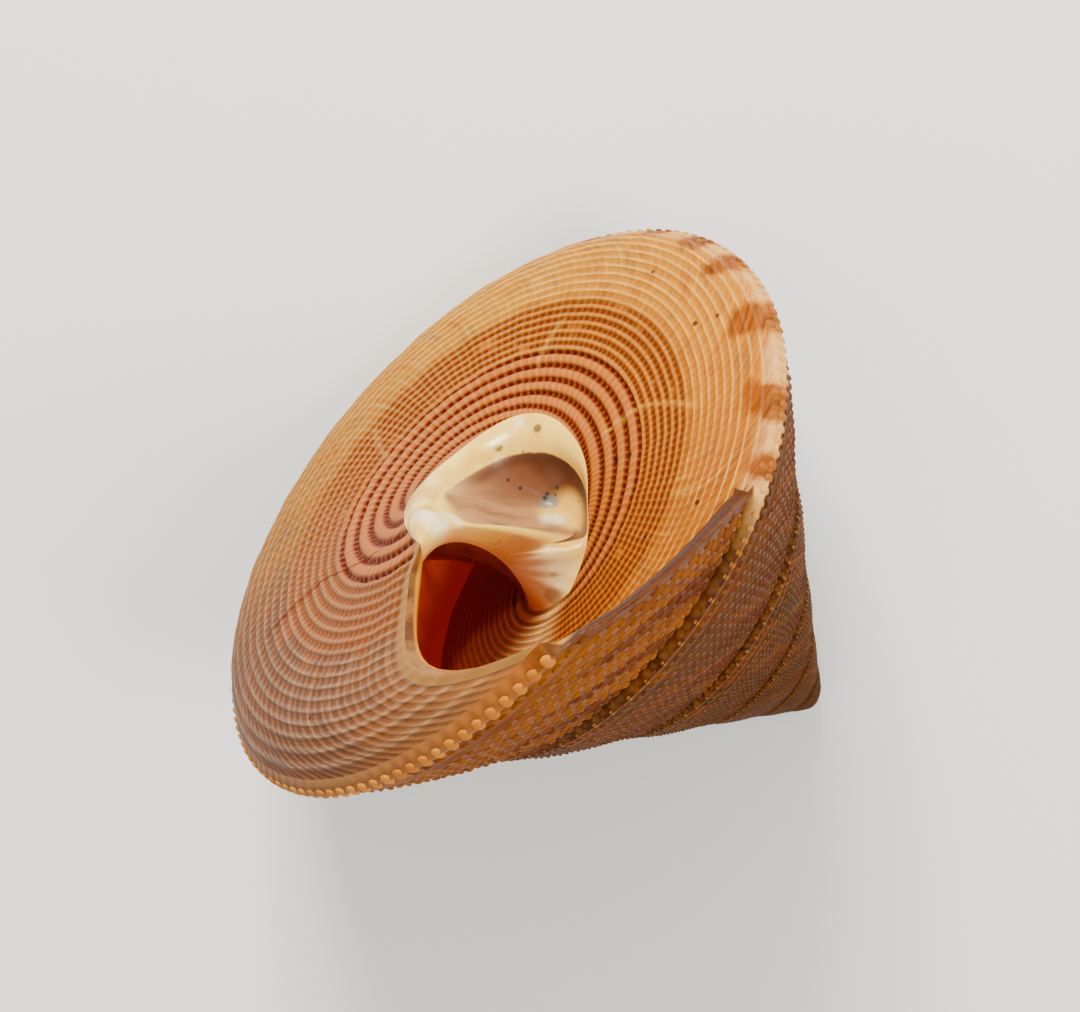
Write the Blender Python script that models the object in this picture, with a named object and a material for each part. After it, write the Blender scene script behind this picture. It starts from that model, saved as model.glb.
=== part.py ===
"""A top shell, lying on its side as it comes to rest, modelled as one solid.

The shell is a coil that grows as it turns. All sizes below are shares of the
keel's radius at the lip, unless a name ends in _m, and all angles are degrees
of growth: 0 is the lip's reference line and one whorl earlier is -360.
"""

import math

import bmesh
import bpy
import numpy as np
from mathutils import Matrix

# Driving dimensions
keel_radius_m = 0.0265
coil_turns = 12.0
coil_power = 4.73
spire_height = 1.39
spire_power = 0.97
whorls = 5.2
wall = 0.036
tube_depth = 216.0

# Base of the whorl, from the keel to the callus
base_bulge = 0.11
base_sharpness = 9.0
base_flat = 0.40
suture_share = 0.975
inner_suture_share = 0.94

# Lip: where it meets the suture, and how far the keel and the base trail it
lip_at_suture = 26.0
keel_lag = 42.0
base_lag = 66.0

# Hollow of the last whorl
hollow_keel_share = 0.93
hollow_base_share = 0.46
pillar_share = 0.25

# Relief on the side of a whorl, as shares of the side's length
side_swell = 0.030
shoulder_lift = 0.016
shoulder_at = 0.10
shoulder_width = 0.07
groove_depth = 0.022
groove_at = 0.91
groove_width = 0.05

# Callus around the funnel, which is wide at the lip's tooth and narrow behind
rim_centre = (0.05, 0.01)
rim_turn = 362.0
callus_arm = 0.155
callus_arm_at_tooth = 0.225
rim_arm = 0.110
rim_arm_at_tooth = 0.170
tooth_knob = 0.030
callus_sink = 0.032
tooth_rise = 0.012
callus_swell = 0.014
callus_pad = 54.0
callus_gap = 30.0
funnel_centre = (0.0, 0.0, -0.985)
pillar_waist = 0.10

# Facets
columns_per_turn = 60
pillar_rows = 6
funnel_rows = 4

# How the shell lies: the side that faces up, how far it tips, its heading
rest_side = 9.83574
rest_tip = 125.86333
heading = 90.0

column_step = 360.0 / columns_per_turn
weld_shift = round(keel_lag / column_step)
callus_shift = round(callus_pad / column_step)
callus_open = round(callus_gap / column_step)
last_column = round(whorls * columns_per_turn)
tube_columns = round(tube_depth / column_step)
side_shares = [0.0, 0.10, 0.32, 0.56, 0.78, 0.92, 1.0]
base_shares = [1.0, suture_share, inner_suture_share, 0.88, 0.79, 0.66, 0.52]


def growth(angle):
    """Size of the whorl at a growth angle, 1 at the reference line."""
    turns = np.asarray(angle, dtype=float) / 360.0
    return np.maximum(1.0 + turns / coil_turns, 0.0) ** coil_power


def place(angle, radius, height):
    """Point at a growth angle, a radius and a height under the apex."""
    around = np.radians(-np.asarray(angle, dtype=float))
    height = height + 0.0 * around
    return np.stack([radius * np.cos(around), radius * np.sin(around), height], axis=-1)


def hump(value, at, width):
    """Smooth hump of height 1."""
    return np.exp(-(((value - at) / width) ** 2))


def keel_height(size):
    return -spire_height * size**spire_power


def base_drop(share):
    """How far the base bulges below its keel at a share of the radius."""
    inward = np.clip((share - base_flat) / (1.0 - base_flat), 0.0, 1.0)
    return base_bulge * (1.0 - inward**base_sharpness)


def base_point(angle, share):
    size = growth(angle)
    return place(angle, size * share, keel_height(size) - size * base_drop(share))


def base_lean(share):
    """How far the growth lines trail on the base, in degrees."""
    inward = np.clip((share - base_flat) / (suture_share - base_flat), 0.0, 1.0)
    return keel_lag + (base_lag - keel_lag) * (1.0 - inward**6)


def side_point(angle, share):
    """Side of the whorl, from the suture at share 0 to the keel at share 1."""
    size = growth(angle)
    older = growth(angle - 360.0)
    radius_a = older * suture_share
    height_a = keel_height(older) - older * base_drop(suture_share)
    radius_b = size
    height_b = keel_height(size)
    length = np.hypot(radius_b - radius_a, height_b - height_a)
    out_r = -(height_b - height_a) / length
    out_z = (radius_b - radius_a) / length
    swell = side_swell * np.sin(math.pi * share) ** 0.8
    shoulder = shoulder_lift * hump(share, shoulder_at, shoulder_width)
    groove = groove_depth * hump(share, groove_at, groove_width)
    fade = min(1.0, 12.0 * share, 12.0 * (1.0 - share))
    lift = length * fade * (swell + shoulder - groove)
    radius = radius_a + (radius_b - radius_a) * share + lift * out_r
    height = height_a + (height_b - height_a) * share + lift * out_z
    return place(angle, radius, height)


def rim_point(angle, blend):
    """Callus around the funnel: its outer edge at blend 0, the rim at blend 1."""
    angle = np.asarray(angle, dtype=float)
    back = np.clip(lip_at_suture - base_lag - angle, 0.0, rim_turn)
    near = lip_at_suture - base_lag - back
    outer = callus_arm + callus_arm_at_tooth * np.exp(-back / 30.0)
    outer = outer + 0.045 * hump(back, 185.0, 40.0) - 0.030 * hump(back, 295.0, 35.0)
    outer = outer + 0.050 * np.exp((back - rim_turn) / 18.0)
    inner = rim_arm + rim_arm_at_tooth * np.exp(-back / 17.0)
    inner = inner + tooth_knob * np.exp(-back / 5.0)
    inner = inner + 0.020 * np.exp((back - rim_turn) / 15.0)
    arm = outer * (1.0 - blend) + inner * blend
    around = np.radians(-near)
    x = rim_centre[0] + arm * np.cos(around)
    y = rim_centre[1] + arm * np.sin(around)
    size = growth(angle)
    radius = np.hypot(x, y) * size / growth(near)
    azimuth = np.arctan2(y, x) - np.radians(angle - near)
    tooth = np.exp(-back / 25.0)
    sink = callus_sink * (1.0 - tooth) - tooth_rise * tooth
    swell = callus_swell * math.sin(math.pi * blend)
    height = keel_height(size) - size * base_bulge + blend * sink - swell
    return np.stack([radius * np.cos(azimuth), radius * np.sin(azimuth), height], axis=-1)


def column_angle(column):
    """Growth angle of a column at the suture."""
    column = np.asarray(column, dtype=float)
    return lip_at_suture - (last_column - column) * column_step


def side_rows(columns):
    """Sides of the whorls, one row of points for each share."""
    angle = column_angle(columns)
    rows = []
    for share in side_shares:
        rows.append(side_point(angle - keel_lag * share, share))
    return rows


def base_row(columns, share):
    return base_point(column_angle(columns) - base_lean(share), share)


def rim_row(columns, blend):
    return rim_point(column_angle(columns) - base_lag, blend)


def inner_base_row(columns, blend):
    """Base between the last straight share and the callus."""
    flat = base_row(columns, base_shares[-1])
    return flat * (1.0 - blend) + rim_row(columns, 0.0) * blend


def hollow_rows(columns):
    """Inside of the last whorl: side, keel, base and the pillar's far side."""
    columns = np.asarray(columns)
    angle = column_angle(columns)
    seat = base_row(columns - columns_per_turn + weld_shift, inner_suture_share)
    rows = [seat]
    for share in side_shares[1:]:
        here = angle - keel_lag * share
        size = growth(here)
        outer = side_point(here, share)
        radius = np.hypot(outer[:, 0], outer[:, 1]) - size * wall * (1.0 - 0.1 * share)
        height = outer[:, 2] - size * wall * (0.55 - 0.75 * share)
        rows.append(place(here, radius, height))
    first = hollow_keel_share
    spread = (first - hollow_base_share) / len(base_shares)
    for number in range(1, len(base_shares) + 1):
        share = first - spread * number
        here = angle - base_lean(share + 0.03)
        size = growth(here)
        height = keel_height(size) - size * (base_drop(share + 0.045) - wall)
        rows.append(place(here, size * share, height))
    start = rows[-1]
    end = rim_row(columns - columns_per_turn - callus_shift, 0.0)
    here = angle - base_lag
    size = growth(here)
    bend_a = place(here, size * (pillar_share + 0.03), keel_height(size) - 0.01 * size)
    bend_b = place(here, size * (pillar_share - 0.02), keel_height(size) + 0.23 * size)
    count = pillar_rows + 4
    for number in range(1, count + 1):
        t = number / count
        ends = start * (1 - t) ** 3 + end * t**3
        bends = bend_a * (1 - t) + bend_b * t
        rows.append(ends + bends * 3 * t * (1 - t))
    return rows


def pillar_edge():
    """Edge of the pillar that faces the funnel, from tooth to insertion."""
    start = rim_row([last_column], 1.0)[0]
    end = rim_row([last_column - columns_per_turn + callus_open], 1.0)[0]
    points = []
    for number in range(pillar_rows + 1):
        t = number / pillar_rows
        point = start * (1 - t) + end * t
        shrink = 1.0 - pillar_waist * math.sin(math.pi * t)
        points.append(point * np.array([shrink, shrink, 1.0]))
    return points


def add_sheet(mesh, rows):
    """Quads between rows of points that have the same length."""
    grid = [[mesh.verts.new(point) for point in row] for row in rows]
    for upper, lower in zip(grid, grid[1:]):
        for k in range(len(upper) - 1):
            mesh.faces.new((upper[k], upper[k + 1], lower[k + 1], lower[k]))


def add_strip(mesh, left, right):
    """Triangles between two chains of points, walked at the same pace."""
    sides = []
    for chain in (left, right):
        points = np.array(chain)
        steps = np.linalg.norm(np.diff(points, axis=0), axis=1)
        pace = np.concatenate([[0.0], np.cumsum(steps) / np.sum(steps)])
        sides.append(([mesh.verts.new(point) for point in points], pace))
    (verts_a, pace_a), (verts_b, pace_b) = sides
    a = b = 0
    while a < len(verts_a) - 1 or b < len(verts_b) - 1:
        next_a = pace_a[a + 1] if a < len(verts_a) - 1 else 2.0
        next_b = pace_b[b + 1] if b < len(verts_b) - 1 else 2.0
        if next_a <= next_b:
            mesh.faces.new((verts_a[a], verts_a[a + 1], verts_b[b]))
            a += 1
        else:
            mesh.faces.new((verts_a[a], verts_b[b + 1], verts_b[b]))
            b += 1


def add_fan(mesh, ring, centre):
    """Triangles from a closed ring of points to its centre."""
    hub = mesh.verts.new(centre)
    rim = [mesh.verts.new(point) for point in ring]
    for k, vert in enumerate(rim):
        mesh.faces.new((vert, rim[(k + 1) % len(rim)], hub))


def build_shell():
    mesh = bmesh.new()
    turn = columns_per_turn
    every = np.arange(last_column + 1)
    open_base = np.arange(last_column - turn + weld_shift, last_column + 1)
    far_column = last_column - tube_columns - turn - callus_shift
    long_base = np.arange(far_column, last_column + 1)
    insertion = last_column - turn + callus_open
    arch = np.arange(insertion, last_column + 1)
    tube = np.arange(last_column - tube_columns, last_column + 1)

    # Sides of all whorls, and the strip of base above each suture
    side = side_rows(every)
    side.append(base_row(every, suture_share))
    add_sheet(mesh, side)

    # Strip of base that the next whorl's wall would cover
    strip = [base_row(open_base, suture_share), base_row(open_base, inner_suture_share)]
    add_sheet(mesh, strip)

    # Base of the last whorl, which runs on into the hollow as its far wall
    base = [base_row(long_base, share) for share in base_shares[2:]]
    base += [inner_base_row(long_base, blend) for blend in (0.36, 0.70, 1.0)]
    add_sheet(mesh, base)

    # Callus between the base and the funnel
    callus = [rim_row(arch, blend) for blend in (0.0, 0.5, 1.0)]
    add_sheet(mesh, callus)

    # Hollow of the last whorl
    hollow = hollow_rows(tube)
    add_sheet(mesh, hollow)

    # End wall deep in the hollow
    ring = [row[0] for row in hollow]
    ring += [row[0] for row in reversed(base[:-1])]
    ring += [base[0][k] for k in range(1, weld_shift + callus_shift)]
    add_fan(mesh, ring, np.mean(ring, axis=0))

    # Lip, then the pillar's edge and the pad where it meets the older base
    outer = [row[-1] for row in side + base]
    inner = [row[-1] for row in hollow]
    inner_base = len(side_shares) + len(base_shares)
    add_strip(mesh, outer, inner[:inner_base])
    edge = pillar_edge()
    pillar = [row[-1] for row in callus] + edge[1:]
    split = inner_base + pillar_rows
    add_strip(mesh, pillar, inner[inner_base - 1 : split])
    first = insertion - far_column
    pad = [edge[-1], callus[1][0]]
    pad += [base[-1][first - k] for k in range(callus_open + callus_shift + 1)]
    add_strip(mesh, pad, inner[split - 1 :])

    # Funnel, spanned on the callus and the pillar's edge
    rim = list(callus[2]) + edge[1:-1]
    centre = np.array(funnel_centre)
    axis = centre - np.mean(rim, axis=0)
    axis /= np.linalg.norm(axis)
    rings = []
    for number in range(funnel_rows + 1):
        t = number / (funnel_rows + 1)
        ring = []
        for point in rim:
            arm = point - centre
            along = axis * np.dot(arm, axis)
            ring.append(centre + (arm - along) * (1.0 - t) + along * (1.0 - t) ** 2)
        rings.append(ring)
    add_sheet(mesh, [ring + ring[:1] for ring in rings])
    add_fan(mesh, rings[-1], centre)

    # Blunt apex
    open_turn = turn - weld_shift
    crown = list(side[0][: open_turn + 1])
    crown += [row[0] for row in reversed(side[1:-1])]
    tip = np.mean(crown, axis=0)
    tip[2] += 0.6 * float(growth(column_angle(0) - 360.0))
    add_fan(mesh, crown, tip)

    bmesh.ops.scale(mesh, vec=(keel_radius_m,) * 3, verts=mesh.verts)
    bmesh.ops.remove_doubles(mesh, verts=mesh.verts, dist=1e-6)
    bmesh.ops.recalc_face_normals(mesh, faces=mesh.faces)
    return mesh


for old in list(bpy.data.objects):
    bpy.data.objects.remove(old, do_unlink=True)

body = build_shell()
roll = Matrix.Rotation(math.radians(-rest_side), 4, "Z")
tip_over = Matrix.Rotation(math.radians(-rest_tip), 4, "Y")
lie = Matrix.Rotation(math.radians(heading), 4, "Z") @ tip_over @ roll
body.transform(lie)
low = [min(vert.co[k] for vert in body.verts) for k in range(3)]
high = [max(vert.co[k] for vert in body.verts) for k in range(3)]
middle = ((low[0] + high[0]) / 2, (low[1] + high[1]) / 2, low[2])
body.transform(Matrix.Translation([-value for value in middle]))

shell_mesh = bpy.data.meshes.new("shell")
body.to_mesh(shell_mesh)
body.free()
shell_mesh.shade_smooth()
shell_mesh.set_sharp_from_angle(angle=math.radians(50))

nacre = bpy.data.materials.new("shell_beige")
nacre.use_nodes = True
shader = nacre.node_tree.nodes["Principled BSDF"]
shader.inputs["Base Color"].default_value = (0.42, 0.27, 0.14, 1.0)
shader.inputs["Roughness"].default_value = 0.42
shader.inputs["Metallic"].default_value = 0.0
shell_mesh.materials.append(nacre)

parts = bpy.data.collections.new("top_shell")
bpy.context.scene.collection.children.link(parts)
shell = bpy.data.objects.new("shell", shell_mesh)
parts.objects.link(shell)
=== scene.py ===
import math
import bmesh
import bpy
import numpy as np
from mathutils import Matrix, Quaternion, Vector


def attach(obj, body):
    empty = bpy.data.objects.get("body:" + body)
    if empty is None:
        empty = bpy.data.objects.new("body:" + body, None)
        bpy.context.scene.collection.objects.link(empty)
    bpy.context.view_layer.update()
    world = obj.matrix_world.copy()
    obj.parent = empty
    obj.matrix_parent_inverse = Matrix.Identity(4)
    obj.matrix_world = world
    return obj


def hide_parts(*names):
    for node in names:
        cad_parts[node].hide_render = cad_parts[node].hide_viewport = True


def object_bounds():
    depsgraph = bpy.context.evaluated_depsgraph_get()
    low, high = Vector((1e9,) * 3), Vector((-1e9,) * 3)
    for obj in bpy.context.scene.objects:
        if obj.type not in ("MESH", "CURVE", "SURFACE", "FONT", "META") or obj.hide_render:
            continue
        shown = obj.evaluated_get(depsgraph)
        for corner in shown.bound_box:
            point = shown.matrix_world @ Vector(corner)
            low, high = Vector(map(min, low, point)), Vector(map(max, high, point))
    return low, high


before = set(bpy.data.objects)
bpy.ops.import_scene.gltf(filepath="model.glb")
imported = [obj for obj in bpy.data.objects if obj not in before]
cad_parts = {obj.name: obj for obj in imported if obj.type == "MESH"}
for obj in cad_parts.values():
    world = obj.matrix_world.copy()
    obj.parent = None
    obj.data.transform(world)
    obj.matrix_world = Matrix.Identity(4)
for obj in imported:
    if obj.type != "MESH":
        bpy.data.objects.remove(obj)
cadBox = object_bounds()
print("frame loaded, box", [[round(v, 4) for v in corner] for corner in cadBox])

# how the shell grows: sizes are shares of the keel's radius at the lip, angles are degrees of growth
shellForm = {
    "keelRadius": 0.0265,
    "coilTurns": 12.0,
    "coilPower": 4.73,
    "spireHeight": 1.39,
    "spirePower": 0.97,
    "whorls": 5.2,
    "wall": 0.036,
    "tubeDepth": 216.0,
    "baseBulge": 0.11,
    "baseSharpness": 9.0,
    "baseFlat": 0.40,
    "sutureShare": 0.975,
    "innerSutureShare": 0.94,
    "innerFlatShare": 0.52,
    "sideSwell": 0.030,
    "shoulderLift": 0.016,
    "shoulderAt": (0.10, 0.07),
    "grooveDepth": 0.022,
    "grooveAt": (0.91, 0.05),
    "growthDepth": 0.0009,
    "lipStep": 0.0035,
    "lipAtSuture": 26.0,
    "lipBand": 3.0,
    "keelLag": 42.0,
    "baseLag": 66.0,
    "hollowKeelShare": 0.93,
    "hollowBaseShare": 0.46,
    "pillarShare": 0.25,
    "pillarBends": ((0.03, -0.01), (-0.02, 0.23)),
}

# callus round the funnel
callusForm = {
    "centre": (0.05, 0.01),
    "turn": 362.0,
    "arm": 0.155,
    "armAtTooth": 0.225,
    "rimArm": 0.110,
    "rimArmAtTooth": 0.170,
    "bulges": [(0.045, 185.0, 40.0), (-0.030, 295.0, 35.0)],
    "knob": 0.030,
    "sink": 0.032,
    "toothRise": 0.012,
    "swell": 0.014,
    "pad": 54.0,
    "gap": 30.0,
    "funnelCentre": (0.0, 0.0, -0.985),
    "pillarWaist": 0.10,
    "pillarRound": 0.030,
    "lipRound": 0.012,
}

# spiral cords: four wide ones beside the callus, fine ones out to the keel, then those of the side
cordForm = {
    "firstShare": 0.242,
    "wideCords": 4,
    "widePitch": 0.0548,
    "finePitch": 0.0317,
    "sideCords": 12,
    "wideDepth": 0.0110,
    "fineDepth": 0.0042,
    "outerDepth": 0.0024,
    "sideDepth": 0.0060,
    "wideWidth": 0.17,
    "fineWidth": 0.26,
    "sideWidth": 0.25,
    "outerFrom": 9.0,
    "outerOver": 5.0,
    "rowsPerWideCord": 5,
    "rowsPerFineCord": 4,
    "rowsPerSideCord": 3,
}

# how it lies on the floor
layForm = {"restSide": 9.83574, "restTip": 125.86333, "heading": 90.0}

# how finely the surface is spun
spinForm = {
    "step": 1.5,
    "keelShares": (1.0, 0.9917, 0.9833, 0.975),
    "hollowSideRows": 15,
    "hollowBaseRows": 15,
    "callusRows": 10,
    "funnelRows": 18,
    "pillarRows": 20,
    "padFrom": 0.6,
    "apexRows": 8,
    "stripRows": 5,
    "polishing": 40,
}

turnColumns = round(360.0 / spinForm["step"])
weldShift = round(shellForm["keelLag"] / spinForm["step"])
callusShift = round(callusForm["pad"] / spinForm["step"])
callusOpen = round(callusForm["gap"] / spinForm["step"])
lastColumn = round(shellForm["whorls"] * turnColumns)
tubeColumns = round(shellForm["tubeDepth"] / spinForm["step"])
keelCord = cordForm["wideCords"] + (1.0 - cordForm["firstShare"]
                                    - cordForm["wideCords"] * cordForm["widePitch"]) / cordForm["finePitch"]


def growth(angle):
    turns = np.asarray(angle, dtype=float) / 360.0
    return np.maximum(1.0 + turns / shellForm["coilTurns"], 0.0) ** shellForm["coilPower"]


def hump(value, at, width):
    return np.exp(-(((value - at) / width) ** 2))


def keelHeight(size):
    return -shellForm["spireHeight"] * size ** shellForm["spirePower"]


def place(angle, radius, height):
    around = np.radians(-np.asarray(angle, dtype=float))
    height = height + 0.0 * around
    return np.stack([radius * np.cos(around), radius * np.sin(around), height], axis=-1)


def flatness(share):
    flat = shellForm["baseFlat"]
    return np.clip((share - flat) / (1.0 - flat), 0.0, 1.0)


def baseDrop(share):
    return shellForm["baseBulge"] * (1.0 - flatness(share) ** shellForm["baseSharpness"])


def baseLean(share):
    flat = shellForm["baseFlat"]
    inward = np.clip((share - flat) / (shellForm["sutureShare"] - flat), 0.0, 1.0)
    return shellForm["keelLag"] + (shellForm["baseLag"] - shellForm["keelLag"]) * (1.0 - inward ** 6)


# number of the cord at a share of the radius: whole numbers are the grooves between cords
def cordNumber(share):
    wide = (share - cordForm["firstShare"]) / cordForm["widePitch"]
    edge = cordForm["firstShare"] + cordForm["wideCords"] * cordForm["widePitch"]
    fine = cordForm["wideCords"] + (share - edge) / cordForm["finePitch"]
    return np.where(wide < cordForm["wideCords"], wide, fine)


def cordRelief(number):
    form = cordForm
    away = np.abs(number - np.round(number))
    wide = -form["wideDepth"] * np.exp(-((away / form["wideWidth"]) ** 2))
    outward = np.clip((number - form["outerFrom"]) / form["outerOver"], 0.0, 1.0)
    depth = form["fineDepth"] * (1.0 - outward) + form["outerDepth"] * outward
    fine = -depth * np.exp(-((away / form["fineWidth"]) ** 2))
    return np.where(number < form["wideCords"] + 0.5, wide, fine)


# slow waves along the growth lines, and a shallow step where the smooth band of the lip begins
def growthRelief(line):
    waves = np.sin(line / 2.3) + 0.8 * np.sin(line / 1.31 + 1.0) + 0.6 * np.sin(line / 5.9 + 2.0)
    step = hump(line, shellForm["lipAtSuture"] - shellForm["lipBand"], 0.8)
    return shellForm["growthDepth"] * waves * lipFade(line) - shellForm["lipStep"] * step


# 1 on the shell, 0 on the smooth band along the lip
def lipFade(line):
    return np.clip((shellForm["lipAtSuture"] - shellForm["lipBand"] + 1.2 - line) / 2.0, 0.0, 1.0)


def basePoint(angle, share):
    size = growth(angle)
    number = cordNumber(share)
    line = angle + baseLean(share)
    fade = np.clip((1.0 - share) / 0.015, 0.0, 1.0)
    relief = size * fade * (cordRelief(number) * lipFade(line) + growthRelief(line))
    sharp = shellForm["baseSharpness"]
    slope = shellForm["baseBulge"] * sharp * flatness(share) ** (sharp - 1.0) / (1.0 - shellForm["baseFlat"])
    steep = np.hypot(slope, 1.0)
    radius = size * share + relief * slope / steep
    height = keelHeight(size) - size * baseDrop(share) - relief / steep
    points = place(angle, radius, height)
    return tagged(points, angle, line, number)


# points with their growth angle, growth line and cord number
def tagged(points, angle, line, number):
    blank = 0.0 * points[..., 0]
    extra = np.stack([angle + blank, line + blank, number + blank], axis=-1)
    return np.concatenate([points, extra], axis=-1)


def sidePoint(angle, share):
    size = growth(angle)
    older = growth(angle - 360.0)
    start = basePoint(angle - 360.0, shellForm["sutureShare"])
    radiusA = np.hypot(start[..., 0], start[..., 1])
    heightA = start[..., 2]
    length = np.hypot(size - radiusA, keelHeight(size) - heightA)
    outR = -(keelHeight(size) - heightA) / length
    outZ = (size - radiusA) / length
    swell = shellForm["sideSwell"] * np.sin(math.pi * share) ** 0.8
    shoulder = shellForm["shoulderLift"] * hump(share, *shellForm["shoulderAt"])
    groove = shellForm["grooveDepth"] * hump(share, *shellForm["grooveAt"])
    fade = np.minimum(1.0, np.minimum(12.0 * share, 12.0 * (1.0 - share)))
    number = keelCord + cordForm["sideCords"] * (1.0 - share)
    line = angle + shellForm["keelLag"] * share
    away = np.abs(number - np.round(number))
    cords = -cordForm["sideDepth"] * np.exp(-((away / cordForm["sideWidth"]) ** 2))
    cords = cords * (size - shellForm["sutureShare"] * older) / 0.36
    fine = cords * lipFade(line) + size * growthRelief(line)
    lift = length * fade * (swell + shoulder - groove) + fade * fine
    radius = radiusA + (size - radiusA) * share + lift * outR
    height = heightA + (keelHeight(size) - heightA) * share + lift * outZ
    return tagged(place(angle, radius, height), angle, line, number)


def rimPoint(angle, blend):
    form = callusForm
    tooth0 = shellForm["lipAtSuture"] - shellForm["baseLag"]
    back = np.clip(tooth0 - angle, 0.0, form["turn"])
    near = tooth0 - back
    outer = form["arm"] + form["armAtTooth"] * np.exp(-back / 30.0)
    for amount, at, width in form["bulges"]:
        outer = outer + amount * hump(back, at, width)
    outer = outer + 0.050 * np.exp((back - form["turn"]) / 18.0)
    inner = form["rimArm"] + form["rimArmAtTooth"] * np.exp(-back / 17.0)
    inner = inner + form["knob"] * np.exp(-back / 5.0)
    inner = inner + 0.020 * np.exp((back - form["turn"]) / 15.0)
    arm = outer * (1.0 - blend) + inner * blend
    around = np.radians(-near)
    x = form["centre"][0] + arm * np.cos(around)
    y = form["centre"][1] + arm * np.sin(around)
    size = growth(angle)
    radius = np.hypot(x, y) * size / growth(near)
    azimuth = np.arctan2(y, x) - np.radians(angle - near)
    tooth = np.exp(-back / 25.0)
    sink = form["sink"] * (1.0 - tooth) - form["toothRise"] * tooth
    swell = form["swell"] * math.sin(math.pi * blend)
    height = keelHeight(size) - size * shellForm["baseBulge"] + blend * sink - swell
    points = np.stack([radius * np.cos(azimuth), radius * np.sin(azimuth), height], axis=-1)
    return tagged(points, angle, angle + shellForm["baseLag"], cordNumber(radius / size))


def columnAngle(column):
    return shellForm["lipAtSuture"] - (lastColumn - np.asarray(column, dtype=float)) * spinForm["step"]


def baseRow(columns, share):
    return basePoint(columnAngle(columns) - baseLean(share), share)


def rimRow(columns, blend):
    return rimPoint(columnAngle(columns) - shellForm["baseLag"], blend)


# base between the last even share and the callus, with its cords at constant shares
def innerBaseRow(columns, blend):
    flat = baseRow(columns, shellForm["innerFlatShare"])
    row = flat * (1.0 - blend) + rimRow(columns, 0.0) * blend
    if blend >= 1.0:
        return row
    size = growth(row[:, 3])
    number = cordNumber(np.hypot(row[:, 0], row[:, 1]) / size)
    smooth = lipFade(columnAngle(columns))
    flatRelief = cordRelief(flat[:, 5]) * growth(flat[:, 3]) * (1.0 - blend) * smooth
    fade = min(1.0, (1.0 - blend) * 8.0) * smooth
    row[:, 2] += flatRelief - fade * size * cordRelief(number)
    row[:, 5] = number
    return row


# rows of the hollow; their cord numbers run from 60 at the suture over 50 and 40 to 30 at the pillar
def hollowRows(columns):
    angle = columnAngle(columns)
    lag = shellForm["keelLag"]
    wall = shellForm["wall"]
    start = baseRow(columns - turnColumns + weldShift, shellForm["innerSutureShare"])
    rows = [tagged(start[:, :3], angle, angle, 60.0)]
    for share in np.linspace(0.06, 1.0, spinForm["hollowSideRows"]):
        here = angle - lag * share
        size = growth(here)
        outer = sidePoint(here, share)
        radius = np.hypot(outer[:, 0], outer[:, 1]) - size * wall * (1.0 - 0.1 * share)
        height = outer[:, 2] - size * wall * (0.55 - 0.75 * share)
        rows.append(tagged(place(here, radius, height), here, angle, 60.0 - 10.0 * share))
    first = shellForm["hollowKeelShare"]
    count = spinForm["hollowBaseRows"]
    for number in range(1, count + 1):
        share = first - (first - shellForm["hollowBaseShare"]) * number / count
        here = angle - baseLean(share + 0.03)
        size = growth(here)
        height = keelHeight(size) - size * (baseDrop(share + 0.045) - wall)
        rows.append(tagged(place(here, size * share, height), here, angle, 50.0 - 10.0 * number / count))
    start = rows[-1]
    end = rimRow(columns - turnColumns - callusShift, 0.0)
    here = angle - shellForm["baseLag"]
    size = growth(here)
    share = shellForm["pillarShare"]
    bendA, bendB = (place(here, size * (share + out), keelHeight(size) + up * size)
                    for out, up in shellForm["pillarBends"])
    count = spinForm["pillarRows"]
    for number in range(1, count + 1):
        t = number / count
        points = start[:, :3] * (1 - t) ** 3 + end[:, :3] * t ** 3
        points = points + (bendA * (1 - t) + bendB * t) * 3 * t * (1 - t)
        rows.append(tagged(points, here, angle, 40.0 - 10.0 * t))
    return rows


def pillarEdge():
    start = rimRow(np.array([lastColumn]), 1.0)[0]
    end = rimRow(np.array([lastColumn - turnColumns + callusOpen]), 1.0)[0]
    points = []
    for number in range(spinForm["pillarRows"] + 1):
        t = number / spinForm["pillarRows"]
        point = start * (1 - t) + end * t
        point[:2] *= 1.0 - callusForm["pillarWaist"] * math.sin(math.pi * t)
        points.append(point)
    return points


# surfaces that are one mesh in the end: points with their tags, faces and the finish of each face
tagNames = ("growthAngle", "growthLine", "cordNumber")
net = {"points": [], "quads": [], "tris": [], "quadFinish": [], "trisFinish": [], "count": 0}
finishes = ["base", "side", "callus", "funnel", "pillar", "mouth", "lip"]


def addPoints(points):
    start = net["count"]
    net["points"].append(np.asarray(points))
    net["count"] += len(points)
    return start


def addSheet(rows, finish):
    rows = np.array(rows)
    start = addPoints(rows.reshape(-1, 6))
    grid = np.arange(rows.shape[0] * rows.shape[1]).reshape(rows.shape[:2]) + start
    quads = np.stack([grid[:-1, :-1], grid[:-1, 1:], grid[1:, 1:], grid[1:, :-1]], axis=-1).reshape(-1, 4)
    net["quads"].append(quads)
    net["quadFinish"].append(np.full(len(quads), finishes.index(finish)))


def addTris(tris, finish):
    net["tris"].append(np.array(tris))
    net["trisFinish"].append(np.full(len(tris), finishes.index(finish)))


def pace(points):
    steps = np.linalg.norm(np.diff(points[:, :3], axis=0), axis=1)
    return np.concatenate([[0.0], np.cumsum(steps) / np.sum(steps)])


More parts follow.
